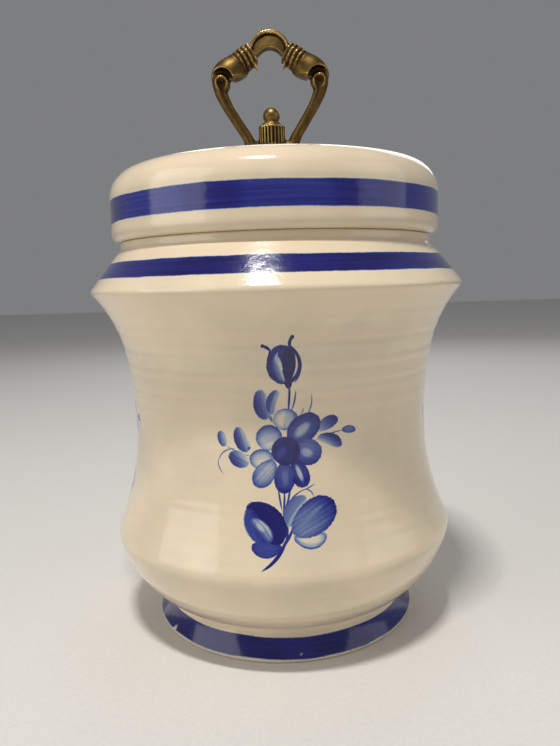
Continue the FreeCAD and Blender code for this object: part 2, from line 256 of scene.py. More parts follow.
LOWER_LEAVES = [
    stroke((1.5, 66.6), (8.6, 78.4), 7.2, bow=1.0, tone=0.4, across=0.2, soft_mm=0.5),
    stroke((3.9, 62.0), (16.6, 62.2), 6.0, bow=-1.4, tone=0.08, across=-0.16, rim=0.56, streak=0.2,
           soft_mm=0.5),
    stroke((4.0, 63.4), (20.6, 75.4), 13.4, bow=0.2, tone=0.5, along=0.2, rim=0.24, taper=0.16, streak=0.4),
    stroke((6.4, 66.4), (15.6, 73.8), 2.0, bow=0.3, tone=0.42, streak=0.2, soft_mm=0.9),
    stroke((-12.5, 58.5), (-1.0, 59.3), 6.6, bow=-0.7, tone=0.66, rim=0.16, streak=0.2),
    stroke((-13.9, 75.2), (-0.2, 60.8), 11.8, bow=1.3, tone=0.92, taper=0.05, streak=0.12),
    stroke((-13.8, 73.4), (-7.6, 59.8), 7.0, bow=-0.7, tone=0.72, across=0.1, streak=0.2, soft_mm=0.9),
    stroke((-12.2, 69.4), (-4.6, 61.4), 5.2, bow=0.3, tone=0.42, across=-0.3, streak=0.4, soft_mm=1.1),
    stroke((-10.4, 68.0), (-7.6, 65.0), 1.8, tone=0.18, streak=0.3, soft_mm=0.8),
]
PETALS = [
    stroke((2.2, 105.6), (1.9, 114.5), 10.2, tone=0.14, across=-0.18, rim=0.46, streak=0.18, soft_mm=0.5),
    stroke((-9.4, 99.8), (-0.2, 105.4), 10.6, tone=0.24, along=0.12, across=0.2, rim=0.42, streak=0.16,
           soft_mm=0.5),
    stroke((3.6, 100.8), (15.2, 110.8), 11.4, tone=0.64, along=0.06, rim=0.26, streak=0.24),
    stroke((6.2, 102.8), (11.6, 108.0), 4.0, tone=0.26, streak=0.3, soft_mm=1.6),
    stroke((5.0, 96.2), (17.0, 95.3), 11.0, bow=0.3, tone=0.58, across=-0.14, rim=0.22, streak=0.3),
    stroke((8.2, 96.8), (13.0, 95.0), 3.6, tone=0.3, streak=0.2, soft_mm=1.5),
    stroke((-3.6, 94.8), (-13.0, 92.8), 8.2, tone=0.14, across=-0.16, rim=0.52, streak=0.2, soft_mm=0.5),
    stroke((-3.2, 92.9), (-10.8, 82.6), 8.4, tone=0.28, along=0.1, rim=0.42, taper=0.12, streak=0.36,
           soft_mm=0.5),
    stroke((5.0, 93.4), (9.0, 81.8), 7.6, tone=0.8, rim=0.1, taper=0.15, streak=0.2),
    stroke((5.6, 91.0), (8.1, 84.2), 2.0, tone=0.2, streak=0.2, soft_mm=0.8),
    stroke((1.1, 92.2), (0.5, 79.6), 8.0, tone=0.66, rim=0.2, along=0.06, taper=0.1, streak=0.3),
    stroke((0.9, 88.8), (1.2, 83.0), 2.6, tone=0.5, streak=0.2, soft_mm=1.3),
    stroke((1.9, 90.8), (1.8, 102.8), 11.7, tone=0.93, streak=0.14),
    stroke((-1.8, 94.0), (1.8, 98.4), 3.4, tone=0.74, streak=0.2, soft_mm=1.4),
]
SPRAY = UPPER_LEAVES + SIDE_SPRIGS + STEMS + LOWER_LEAVES + BUD + PETALS


def paint_strokes(graph, where, grain, strokes):
    """Lays the strokes one over another and returns the pigment, from 0 for bare glaze to 1 for navy.

    where is (round the pot, up, 1), so that one product with an axis also moves the stroke to its place.
    """
    brushes = {streaked: make_stroke_group(streaked) for streaked in (True, False)}
    seed_step = 7.3
    pigment = 0.0
    for number, s in enumerate(strokes):
        start, end = Vector(s["start"]), Vector(s["end"])
        run = end - start
        left = Vector((-run.y, run.x)).normalized()
        half_width = s["width"] / 2
        centre = (start + end) / 2 + left * s["bow"]
        axis = run / 2 / (run.length / 2) ** 2
        side = left / half_width
        node = graph.add("ShaderNodeGroup", node_tree=brushes[s["streak"] > 0])
        values = {
            "Where": where,
            "Axis": (axis.x, axis.y, -axis.dot(centre)),
            "Side": (side.x, side.y, -side.dot(centre)),
            "Grain": grain,
            "Under": pigment,
            "Bow": s["bow"] / half_width,
            "Taper": s["taper"],
            "Tone": s["tone"],
            "Along": s["along"],
            "Across": s["across"],
            "Rim": s["rim"],
            "Soft": s["soft_mm"] / half_width,
        }
        if s["streak"] > 0:
            values.update({"Streak": s["streak"], "Seed": seed_step * number})
        for key, value in values.items():
            graph.feed(node.inputs[key], value)
        pigment = node.outputs[0]
    return pigment


# ---------------------------------------------------------------- glaze
CREAM = srgb(239, 222, 191)
GREY_CREAM = srgb(225, 211, 182)
PINK_CREAM = srgb(239, 213, 184)
CLAY = srgb(226, 212, 188)
COBALT = [
    (0.0, srgb(226, 216, 194)),
    (0.2, srgb(178, 186, 196)),
    (0.42, srgb(108, 126, 172)),
    (0.62, srgb(61, 75, 150)),
    (0.82, srgb(34, 36, 128)),
    (1.0, srgb(14, 12, 76)),
]
SPECK = srgb(96, 66, 40)
PAINT_RADIUS = 73.0      # the strokes' millimetres round the pot are measured at the waist
SPRAYS = 4
WOBBLE = 1.4             # how far a brush line strays, in millimetres


def band(graph, height, low, high, edge=0.35):
    """1 between two levels, with edges as soft as a brush held against the turning pot."""
    above = graph.step(height, low - edge, low + edge)
    below = graph.step(height, high + edge, high - edge)
    return graph.math("MULTIPLY", above, below)


def spray_pigment(graph, place):
    """The pigment of the sprays, each in its own share of the way round, drawn a little unsteadily."""
    x, y, z = graph.add("ShaderNodeSeparateXYZ", {0: place}).outputs
    turn = graph.math("ARCTAN2", x, graph.math("MULTIPLY", y, -1.0))
    span = math.pi / SPRAYS
    turn = graph.math("WRAP", turn, span, -span)
    flat = graph.combine(graph.math("MULTIPLY", turn, PAINT_RADIUS), z, 1.0)
    noise = graph.add("ShaderNodeTexNoise", {"Vector": place, "Scale": 0.05, "Detail": 1.0})
    inputs = {0: noise.outputs["Color"], 1: (0.5, 0.5, 0.5)}
    wobble = graph.add("ShaderNodeVectorMath", inputs, operation="SUBTRACT").outputs[0]
    inputs = {0: wobble, 1: (WOBBLE, WOBBLE, 0.0), 2: flat}
    where = graph.add("ShaderNodeVectorMath", inputs, operation="MULTIPLY_ADD").outputs[0]
    grain = graph.math("MULTIPLY_ADD", graph.noise(place, 1.4, 2.0, 0.6), 0.35, -0.175)
    return paint_strokes(graph, where, grain, SPRAY)


def glaze_material(name, bands, sprayed):
    """Cream tin glaze with brushed cobalt bands, and on the body the painted sprays.

    A band is (low, high, tone, how much lighter a thin patch of it is).
    """
    material, graph, shader = new_material(name, Roughness=0.22, Coat_Weight=0.4, Coat_Roughness=0.05)
    place = object_place(graph)
    x, y, z = graph.add("ShaderNodeSeparateXYZ", {0: place}).outputs

    waver = graph.swing(place, 0.035)
    flick = graph.swing(place, 0.9)
    height = graph.math("MULTIPLY_ADD", waver, 1.3, z)
    height = graph.math("MULTIPLY_ADD", flick, 0.35, height)
    stretch = 0.02
    round_pot = graph.combine(graph.math("MULTIPLY", x, stretch), graph.math("MULTIPLY", y, stretch), z)
    streak = graph.swing(round_pot, 0.9, 4.0, 0.65)
    upright = graph.combine(x, y, graph.math("MULTIPLY", z, 0.3))
    patch = graph.step(graph.noise(upright, 0.028, 2.0, 0.4), 0.47, 0.55)

    pigment = spray_pigment(graph, place) if sprayed else 0.0
    for low, high, tone, lightening in bands:
        inside = band(graph, height, low, high)
        wash = graph.math("MULTIPLY_ADD", streak, 0.42, tone)
        wash = graph.math("MULTIPLY_ADD", patch, -lightening, wash)
        pigment = graph.blend(inside, pigment, wash)

    reached = graph.add("ShaderNodeAttribute", attribute_name="painted").outputs["Fac"]
    pigment = graph.math("MULTIPLY", pigment, reached)
    tone = graph.math("MULTIPLY_ADD", flick, 0.05, pigment)
    cobalt = graph.ramp(graph.clamp(tone), COBALT)
    cloud = graph.step(graph.noise(place, 0.03, 3.0), 0.35, 0.7)
    rings = graph.step(graph.noise(round_pot, 0.25, 2.0), 0.35, 0.75)
    bare = graph.tint(cloud, CREAM, GREY_CREAM)
    bare = graph.tint(graph.math("MULTIPLY", rings, 0.45), bare, PINK_CREAM)
    covered = graph.step(pigment, 0.02, 0.2)
    color = graph.tint(covered, bare, cobalt)

    dots = graph.add("ShaderNodeTexVoronoi", {"Vector": place, "Scale": 0.085})
    near = graph.step(dots.outputs["Distance"], 0.045, 0.02)
    dot_number = graph.add("ShaderNodeSeparateColor", {0: dots.outputs["Color"]}).outputs[0]
    chosen = graph.step(dot_number, 0.72, 0.76)
    specks = graph.math("MULTIPLY", near, chosen)
    color = graph.tint(graph.math("MULTIPLY", specks, 0.8), color, SPECK)
    roughness = graph.math("MULTIPLY_ADD", graph.noise(place, 0.12, 3.0), 0.12, 0.08)
    roughness = graph.math("MULTIPLY_ADD", specks, 0.3, roughness)
    if sprayed:
        worn = foot_wear(graph, place, z, flick)
        color = graph.tint(worn, color, CLAY)
        roughness = graph.blend(worn, roughness, 0.8)
    graph.feed(shader.inputs["Base Color"], color)
    graph.feed(shader.inputs["Roughness"], roughness)
    peel = graph.noise(place, 0.35, 3.0, 0.55)
    relief = graph.math("MULTIPLY_ADD", specks, -0.5, peel)
    graph.feed(shader.inputs["Normal"], graph.bump(relief, 0.12, 0.6))
    return material


def foot_wear(graph, place, z, flick):
    """1 where the foot stands and where its edge is chipped, down to the bare clay."""
    standing = graph.step(graph.math("MULTIPLY_ADD", flick, 0.8, z), 0.75, 0.25)
    flakes = graph.step(graph.noise(place, 0.16, 3.0), 0.69, 0.71)
    chips = graph.math("MULTIPLY", flakes, graph.step(z, 4.0, 2.0))
    return graph.math("MAXIMUM", standing, chips)


# ---------------------------------------------------------------- turned pieces
def curve_points(start, end, radius, side, spacing):
    """Points after start, up to and with end, on an arc that bows left (1) or right (-1).

    A radius of None makes the run straight.
    """
    start, end = Vector(start), Vector(end)
    chord = end - start
    if radius is None:
        count = max(1, round(chord.length / spacing))
        return [start.lerp(end, (i + 1) / count) for i in range(count)]
    left = Vector((-chord.y, chord.x)).normalized() * side
    half = chord.length / 2
    centre = (start + end) / 2 - left * math.sqrt(radius * radius - half * half)
    sweep = 2 * math.asin(half / radius)
    count = max(3, round(radius * sweep / spacing))
    spoke = start - centre
    points = []
    for i in range(count):
        angle = -side * sweep * (i + 1) / count
        points.append(centre + Matrix.Rotation(angle, 2) @ spoke)
    return points


def outline(corners, spacing):
    """Points along corners (radius, height) or (radius, height, arc, side).

    The arc is on the run to the next corner.
    """
    points = [Vector(corners[0][:2])]
    for corner, following in zip(corners, corners[1:]):
        arc, side = corner[2:] if len(corner) == 4 else (None, 0)
        points += curve_points(corner[:2], following[:2], arc, side, spacing)
    return points


def make_mesh(name, vertices, faces):
    mesh = bpy.data.meshes.new(name)
    mesh.from_pydata(vertices, [], faces)
    mesh.validate()
    mesh.shade_smooth()
    piece = bpy.data.objects.new(name, mesh)
    bpy.context.scene.collection.objects.link(piece)
    return piece


def turned(name, points, segments, shape=None, closed=False, painted=None):
    """The outline turned once round the axis.

    shape(radius, height, angle) gives the worked radius and height, and painted(number, point) says whether
    the brush has reached that point of the outline.
    """
    angles = np.arange(segments) * (2 * math.pi / segments)
    radii = np.array([p[0] for p in points])
    levels = np.array([p[1] for p in points])
    rows, faces, vertices, uvs, brushed = [], [], [], [], []
    lengths = np.concatenate([[0], np.cumsum(np.hypot(np.diff(radii), np.diff(levels)))])
    shares = lengths / lengths[-1]
    for i, (radius, level) in enumerate(zip(radii, levels)):
        first = len(vertices)
        on_axis = radius < 1e-6
        reached = float(painted(i, points[i])) if painted else 0.0
        brushed += [reached] * (1 if on_axis else segments)
        if on_axis:
            rows.append([first] * segments)
            vertices.append((0.0, 0.0, level * MM))
            continue
        r = np.full(segments, radius)
        z = np.full(segments, level)
        if shape:
            r, z = shape(r, z, angles)
        rows.append(list(range(first, first + segments)))
        vertices += [tuple(v) for v in np.stack([r * np.sin(angles), -r * np.cos(angles), z], 1) * MM]
    count = len(rows)
    for i in range(count if closed else count - 1):
        low, high = rows[i], rows[(i + 1) % count]
        v0, v1 = shares[i], shares[i + 1] if i + 1 < count else 1.0
        for j in range(segments):
            k = (j + 1) % segments
            u0, u1 = (j + 0.5) / segments, (j + 1.5) / segments
            corners = [(low[j], u0, v0), (low[k], u1, v0), (high[k], u1, v1), (high[j], u0, v1)]
            kept = [c for n, c in enumerate(corners) if c[0] not in [p[0] for p in corners[:n]]]
            faces.append([c[0] for c in kept])
            uvs += [(c[1] - 0.5 / segments, c[2]) for c in kept]
    piece = make_mesh(name, vertices, faces)
    layer = piece.data.uv_layers.new(name="OFBake")
    layer.data.foreach_set("uv", np.array(uvs, np.float32).ravel())
    if painted:
        piece.data.attributes.new("painted", "FLOAT", "POINT").data.foreach_set("value", brushed)
    return piece


def settle(piece, body, slot, *nodes):
    """Puts a piece on its body, in place of the CAD nodes; the slot is not used."""
    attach(piece, body)
    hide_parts(*nodes)


SEGMENTS = 224
FINE = 0.95              # spacing of the points along an outline
COARSE = 4.0
WALL = 6.5
RIM = 184.8
FOOT = 65.2
NECK = (59.4, 12.2)
BELLY = (83.0, 49.0)
WAIST = (72.3, 98.0)
FLARE = (75.4, 132.0)
SHOULDER = (89.3, 160.9)
COLLAR = 75.0
MOUTH = 68.5


def thrown(r, z, angle):
    """The thrower's finger rings and the slight unevenness of the wall, always inside the plain outline."""
    spiral = angle / (2 * math.pi)
    rings = np.sin(2 * math.pi * (z / 6.1 + spiral)) + 0.6 * np.sin(2 * math.pi * (z / 3.7 - spiral) + 1.3)
    strength = 0.02 + 0.09 * np.exp(-(((z - 138.0) / 22.0) ** 2))
    uneven = 0.16 * (1 - np.cos(2 * angle + 0.8)) + 0.06 * (1 - np.sin(5 * angle + z / 40.0))
    wall = np.clip((z - 16.0) / 6.0, 0, 1) * np.clip((160.0 - z) / 3.0, 0, 1)
    return r - (1.6 + rings) * strength * wall - uneven * np.clip((z - 3.0) / 20.0, 0, 1), z


def make_body():
    underside = [(0, 3.5), (50.5, 3.5), (52.0, 0.0), (64.2, 0.0, 1.2, -1), (FOOT, 1.0)]
    outside = [
        (FOOT, 1.0, 30.0, 1),
        (NECK[0] + 0.4, 11.6, 1.2, 1),
        (61.4, 13.2, 50.4, -1),
        (83.5, 43.6, 8.0, -1),
        (*BELLY, 117.0, 1),
        (*WAIST, 186.0, 1),
        (*FLARE, 63.0, 1),
        (*SHOULDER, 2.0, -1),
        (89.35, 163.5),
        (COLLAR + 1.0, 180.5, 2.5, 1),
        (COLLAR, 182.6),
        (COLLAR, RIM - 1.2, 1.2, -1),
        (COLLAR - 1.2, RIM),
        (MOUTH + 1.2, RIM, 1.2, -1),
        (MOUTH, RIM - 1.2),
    ]
    inside = [
        (MOUTH, RIM - 1.2),
        (MOUTH, 178.0),
        (81.2, 161.8, 69.5, -1),
        (FLARE[0] - WALL, FLARE[1], 192.5, -1),
        (WAIST[0] - WALL, WAIST[1], 123.5, -1),
        (BELLY[0] - WALL, BELLY[1], 43.9, 1),
        (50.0, 10.0),
        (0, 10.0),
    ]
    below = outline(underside, COARSE)[:-1]
    outer = outline(outside, FINE)
    inner = outline(inside, COARSE)[1:]
    first, last = len(below), len(below) + len(outer)
    points = below + outer + inner
    piece = turned("canister_body_glazed", points, SEGMENTS, thrown, painted=lambda i, p: first <= i < last)
    bands = [(1.6, 9.4, 0.9, 0.06), (168.3, 175.2, 0.93, 0.03)]
    piece.data.materials.append(glaze_material("body_glaze", bands, True))
    settle(piece, "canister", "body_glaze", "canister_body")


def make_lid():
    side, plug, plug_inside, foot = 78.5, 67.2, 61.8, 177.8
    top, ceiling, shoulder, shelf, hole = 219.0, 212.5, 205.0, 191.0, 3.5
    inside = side - WALL
    corners = [
        (plug_inside, foot),
        (plug - 1.0, foot, 1.0, -1),
        (plug, foot + 1.0),
        (plug, RIM),
        (side - 3.5, RIM, 3.5, -1),
        (side, RIM + 3.5),
        (side, shoulder, 13.0, -1),
        (65.5, 217.6),
        (22.0, top),
        (hole + 0.8, top, 0.8, -1),
        (hole, top - 0.8),
        (hole, ceiling),
        (inside - WALL, ceiling, 6.5, 1),
        (inside, shoulder),
        (inside, shelf + 2.0, 2.0, 1),
        (inside - 2.0, shelf),
        (plug_inside + 2.0, shelf, 2.0, -1),
        (plug_inside, shelf - 2.0),
        (plug_inside, foot),
    ]
    points = outline(corners, 1.3)[:-1]
    piece = turned("lid_glazed", points, SEGMENTS, thrown_lid, closed=True,
                   painted=lambda i, p: p.x > COLLAR)
    piece.data.materials.append(glaze_material("lid_glaze", [(192.9, 203.1, 0.88, 0.1)], False))
    settle(piece, "lid_set", "lid_glaze", "lid")


def thrown_lid(r, z, angle):
    """Shallow turning marks on the lid's side and top, inside the plain outline."""
    side = np.clip((r - 60.0) / 10.0, 0, 1) * np.clip((z - 186.0) / 6.0, 0, 1)
    marks = 0.05 * (1 + np.sin(2 * math.pi * z / 5.3)) + 0.1 * (1 - np.cos(2 * angle - 0.6))
    return r - marks * side, z


# ---------------------------------------------------------------- cast handle
CAST_STEP = 0.33         # the grid that the casting's shape is sampled on
CURVE_STEPS = 4          # straight steps between two stations of a swept bar


def smooth_union(a, b, blend):
    """Two shapes, as distances to their surfaces, joined with a fillet."""
    h = np.clip(0.5 + 0.5 * (b - a) / blend, 0, 1)
    return b * (1 - h) + a * h - blend * h * (1 - h)


def smooth_cut(a, tool, blend):
    return -smooth_union(-a, tool, blend)


def smooth_path(stations):
    """Points (x, z, radius) on a Catmull-Rom curve through the stations."""
    p = np.array([stations[0]] + stations + [stations[-1]], float)
    points = []
    for i in range(len(stations) - 1):
        a, b, c, d = p[i:i + 4]
        for t in np.arange(CURVE_STEPS) / CURVE_STEPS:
            bend = (2 * a - 5 * b + 4 * c - d) * t ** 2 + (3 * b - a - 3 * c + d) * t ** 3
            points.append(0.5 * (2 * b + (c - a) * t + bend))
    points.append(p[-2])
    return points


def swept(X, Y, Z, stations, depth=1.0):
    """Distance to a bar of changing thickness along a smooth path in the XZ plane, flattened in depth."""
    nearest = np.full(X.shape, 1e3, np.float32)
    points = smooth_path(stations)
    y = Y / depth
    for (x0, z0, r0), (x1, z1, r1) in zip(points, points[1:]):
        dx, dz = x1 - x0, z1 - z0
        t = np.clip(((X - x0) * dx + (Z - z0) * dz) / (dx * dx + dz * dz), 0, 1)
        d = np.sqrt((X - x0 - t * dx) ** 2 + (Z - z0 - t * dz) ** 2 + y * y) - (r0 + t * (r1 - r0))
        nearest = np.minimum(nearest, d)
    return nearest


PAD_TOP = 219.8
COLUMN_TOP = 239.2
# Stations of the swept bars: (across, height, radius).
LEG = [
    (9.0, 227.0, 3.2),
    (11.4, 233.5, 2.6),
    (15.4, 240.0, 2.5),
    (20.4, 248.0, 2.6),
    (23.6, 255.0, 3.1),
    (23.8, 258.6, 3.5),
]
WEB = [(5.5, 231.0, 2.0), (9.0, 229.6, 2.2), (13.0, 228.6, 1.8)]
HORN = [(12.4, 269.8, 4.4), (15.2, 267.4, 5.9), (19.0, 263.9, 7.5), (20.6, 262.4, 7.6)]
LEG_HEAD = (23.4, 259.4, 4.4)
CHANNEL = [
    (10.6, 232.0, 0.7),
    (15.0, 240.6, 0.8),
    (19.4, 248.0, 1.0),
    (22.2, 254.0, 1.5),
    (23.2, 259.4, 2.5),
]
COLLAR_CENTRE = (11.5, 270.2)
COLLAR_AXIS = (0.842, -0.539)
COLLAR_HALF = 4.5
RIDGE_PITCH = 2.3
ARCH_RIM = (273.0, 9.82)         # height and radius of the arch's outer edge
ARCH_OPENING = (268.2, 6.4)
ARCH_FOOT = 264.4


def column_and_base(X, Y, Z):
    r = np.hypot(X, Y)
    around = np.arctan2(Y, X)
    flutes = 0.5 + 0.5 * np.cos(22 * around)
    fluted = np.clip((COLUMN_TOP - 0.6 - Z) / 0.5, 0, 1) * np.clip((Z - 229.6) / 1.5, 0, 1)
    column = np.maximum(r - 6.5 + 0.6 * flutes * fluted, Z - COLUMN_TOP)
    rise = np.clip((19.0 - r) / 10.4, 0, 1)
    dome = PAD_TOP + 1.6 + 8.4 * rise ** 1.7
    bead = 0.7 * np.exp(-(((r - 17.4) / 0.8) ** 2)) + 0.6 * np.exp(-(((r - 9.6) / 0.8) ** 2))
    base = np.maximum((Z - dome - bead) * 0.75, r - 18.9)
    solid = smooth_union(column, base, 1.0)
    return np.maximum(solid, PAD_TOP - Z)


def cast_ring(X, Y, Z):
    """Legs, scrolls, ridged collars and arch, for the side X >= 0 and the face Y >= 0."""
    legs = swept(X, Y, Z, LEG, depth=0.95)
    legs = smooth_union(legs, swept(X, Y, Z, WEB), 1.2)
    hx, hz, hr = LEG_HEAD
    head = np.sqrt((X - hx) ** 2 + (Z - hz) ** 2 + (Y / 1.15) ** 2) - hr
    legs = smooth_union(legs, head, 1.0)
    channel_depth = Y - 3.25 - 1.5 * np.clip((Z - 250.0) / 9.0, 0, 1)
    channel = swept(X, channel_depth, Z, CHANNEL)
    legs = smooth_cut(legs, channel, 0.5)

    horn = swept(X, Y, Z, HORN, depth=0.82)
    lip = 260.4 - Z + 0.22 * (20.0 - X)
    horn = smooth_cut(horn, -lip, 0.9)
    mouth = np.hypot(X - 23.3, Z - 260.0) - 5.4
    mouth = np.maximum(mouth, 2.4 - Y)
    horn = smooth_cut(horn, mouth, 0.7)

    along = (X - COLLAR_CENTRE[0]) * COLLAR_AXIS[0] + (Z - COLLAR_CENTRE[1]) * COLLAR_AXIS[1]
    outward = (Z - COLLAR_CENTRE[1]) * COLLAR_AXIS[0] - (X - COLLAR_CENTRE[0]) * COLLAR_AXIS[1]
    radial = np.hypot(outward, Y / 0.9)
    fan = np.arctan2(Y, outward)
    ridges = 0.5 + 0.5 * np.cos(2 * math.pi * (along - 0.02 * outward ** 2) / RIDGE_PITCH)
    leaf = 0.14 * np.cos(11 * fan)
    fade = 0.55 + 0.45 * np.clip((outward + 6.0) / 6.0, 0, 1)
    girth = 5.25 + (0.85 + leaf) * fade * ridges - 0.03 * along ** 2 + 0.05 * outward
    collar = smooth_cut((radial - girth) * 0.7, COLLAR_HALF - np.abs(along), 0.5)

    from_rim = ARCH_RIM[1] - np.hypot(X, Z - ARCH_RIM[0])
    from_opening = np.hypot(X, Z - ARCH_OPENING[0]) - ARCH_OPENING[1]
    inward = np.clip(from_rim / np.maximum(from_rim + from_opening, 0.5), 0, 1)
    bead = 1.6 * np.exp(-(((from_rim - 0.9) / 1.05) ** 2))
    depth = np.maximum(1.8 + bead, 1.8 + 1.5 * inward)
    arch = np.maximum(-from_rim, -from_opening)
    arch = smooth_cut(arch, depth - Y, 0.7)
    arch = np.maximum(arch, ARCH_FOOT - Z)
    ring = smooth_union(smooth_union(horn, collar, 0.6), arch, 0.5)
    return smooth_union(ring, legs, 0.35)


def surface_net(field, origin, step):
    """The zero surface of a sampled field, as vertices, quads and the cells that the surface crosses.

    Each such cell has one vertex, at the mean of the points where the surface crosses the cell's edges.
    """
    inside = field < 0
    shape = np.array(field.shape) - 1
    corner_offsets = [(i, j, k) for i in (0, 1) for j in (0, 1) for k in (0, 1)]

    def corner(array, offset):
        i, j, k = offset
        return array[i:i + shape[0], j:j + shape[1], k:k + shape[2]]

    full = sum(corner(inside, o).astype(np.int8) for o in corner_offsets)
    cells = np.argwhere((full > 0) & (full < 8))
    number = np.full(shape, -1, np.int64)
    number[tuple(cells.T)] = np.arange(len(cells))
    total = np.zeros((len(cells), 3))
    hits = np.zeros(len(cells))
    for a in corner_offsets:
        for b in corner_offsets:
            if sum(b) != sum(a) + 1 or any(q < p for p, q in zip(a, b)):
                continue
            fa = field[tuple((cells + a).T)]
            fb = field[tuple((cells + b).T)]
            crossing = (fa < 0) != (fb < 0)
            t = np.where(crossing, fa / np.where(crossing, fa - fb, 1), 0)
            point = np.array(a) + t[:, None] * (np.array(b) - np.array(a))
            total += point * crossing[:, None]
            hits += crossing
    vertices = (cells + total / hits[:, None]) * step + np.array(origin)
    faces = []
    for axis in range(3):
        one, two = (axis + 1) % 3, (axis + 2) % 3
        ahead = np.roll(inside, -1, axis)
        core = [slice(1, n) for n in shape]
        core[axis] = slice(0, shape[axis])
        for starts in (True, False):
            edge = (inside == starts) & (ahead != starts)
            found = np.argwhere(edge[tuple(core)])
            found[:, one] += 1
            found[:, two] += 1
            ring = []
            for d1, d2 in ((0, 0), (1, 0), (1, 1), (0, 1)):
                cell = found.copy()
                cell[:, one] -= d1
                cell[:, two] -= d2
                ring.append(number[tuple(cell.T)])
            quad = np.stack(ring if starts else ring[::-1], 1)
            faces.append(quad[(quad >= 0).all(1)])
    return vertices, np.concatenate(faces), cells


def untangle(field):
    """Fills one hollow corner of each grid square whose diagonals lie on different sides of the surface.

    Every edge of the net then has exactly two faces.
    """
    tangles = True
    while tangles:
        tangles = False
        for one, two in ((0, 1), (1, 2), (2, 0)):
            plane = np.moveaxis(field, (one, two), (0, 1))
            corners = [plane[:-1, :-1], plane[1:, :-1], plane[1:, 1:], plane[:-1, 1:]]
            solid = [corner < 0 for corner in corners]
            tangled = (solid[0] == solid[2]) & (solid[1] == solid[3]) & (solid[0] != solid[1])
            tangles = tangles or bool(tangled.any())
            for p, q in ((0, 2), (1, 3)):
                hollow = tangled & ~solid[p]
                nearer = hollow & (corners[p] <= corners[q])
                corners[p][nearer] = -0.01
                corners[q][hollow & ~nearer] = -0.01


def relax(vertices, faces):
    """Each vertex moved half way to the mean of its neighbours, which takes off the grid's stair steps."""
    total = np.zeros_like(vertices)
    hits = np.zeros(len(vertices))
    for i in range(4):
        for one, other in ((faces[:, i], faces[:, i - 1]), (faces[:, i - 1], faces[:, i])):
            np.add.at(total, one, vertices[other])
            np.add.at(hits, one, 1)
    return (vertices + total / hits[:, None]) / 2


def box_blur(field, reach):
    """The mean of the field over a cube of neighbours."""
    for axis in range(3):
        field = sum(np.roll(field, shift, axis) for shift in range(-reach, reach + 1)) / (2 * reach + 1)
    return field


def make_handle():
    half_width, half_depth, top = 28.4, 19.4, 283.6
    bore_radius, bore_top = 3.0, COLUMN_TOP + 3.0
    xs = np.arange(-half_width, half_width + CAST_STEP, CAST_STEP, dtype=np.float32)
    ys = np.arange(-half_depth, half_depth + CAST_STEP, CAST_STEP, dtype=np.float32)
    zs = np.arange(PAD_TOP - 1.0, top, CAST_STEP, dtype=np.float32)
    X, Y, Z = np.meshgrid(xs, ys, zs, indexing="ij", sparse=True)
    field = smooth_union(cast_ring(np.abs(X), np.abs(Y), Z), column_and_base(X, Y, Z), 0.9)
    bore = np.maximum(np.hypot(X, Y) - bore_radius, Z - bore_top)
    field = np.maximum(np.maximum(field, -bore), PAD_TOP - Z).astype(np.float32)
    field = (field + box_blur(field, 1)) / 2
    untangle(field)
    vertices, faces, cells = surface_net(field, (xs[0], ys[0], zs[0]), CAST_STEP)
    vertices = relax(vertices, faces)
    proud = (box_blur(field, 2) - field)[tuple((cells + 1).T)]
    piece = make_mesh("handle_casting", (vertices * MM).tolist(), faces.tolist())
    wear = piece.data.attributes.new("proud", "FLOAT", "POINT")
    wear.data.foreach_set("value", proud.astype(np.float32))
    piece.data.materials.append(brass_material("handle_brass", worn=True))
    settle(piece, "lid_set", "handle_brass", "handle")


BROWNED_BRASS = [
    (0.0, srgb(34, 25, 13)),
    (0.3, srgb(78, 60, 34)),
    (0.6, srgb(124, 99, 56)),
    (1.0, srgb(208, 176, 112)),
]


def brass_material(name, worn):
    """Cast brass gone brown: dark in the hollows, rubbed bright on what stands proud."""
    material, graph, shader = new_material(name, Metallic=1.0)
    place = object_place(graph)
    mottle = graph.swing(place, 0.22, 4.0, 0.6)
    pits = graph.noise(place, 1.6, 4.0, 0.65)
    if worn:
        proud = graph.add("ShaderNodeAttribute", attribute_name="proud").outputs["Fac"]
        proud = graph.math("MULTIPLY_ADD", proud, 2.6, 0.35)
    else:
        proud = 0.6
    rubbed = graph.math("MULTIPLY_ADD", mottle, 0.7, proud)
    rubbed = graph.clamp(graph.math("MULTIPLY_ADD", graph.math("SUBTRACT", pits, 0.5), 0.25, rubbed))
    graph.feed(shader.inputs["Base Color"], graph.ramp(rubbed, BROWNED_BRASS))
    graph.feed(shader.inputs["Roughness"], graph.blend(rubbed, 0.62, 0.26))
    graph.feed(shader.inputs["Normal"], graph.bump(pits, 0.35, 0.15))
    return material


def make_finial():
    flange, ball, ball_level, thread, thread_end = 4.8, 4.1, 243.9, 2.5, 244.4
    socket = [Vector((0, thread_end)), Vector((thread, thread_end))]
    outside = outline([
        (thread, COLUMN_TOP),
        (flange - 0.3, COLUMN_TOP, 0.35, -1),
        (flange, COLUMN_TOP + 0.35),
        (flange, COLUMN_TOP + 0.8, 1.2, -1),
        (3.4, COLUMN_TOP + 1.6, 0.7, 1),
        (3.1, 241.2, ball, -1),
        (ball, ball_level, ball, -1),
        (0.0, ball_level + ball),
    ], 0.3)
    piece = turned("ball_finial_polished", socket + outside, 64)
    piece.data.materials.append(brass_material("ball_brass", worn=False))
    settle(piece, "lid_set", "handle_brass", "ball_finial")


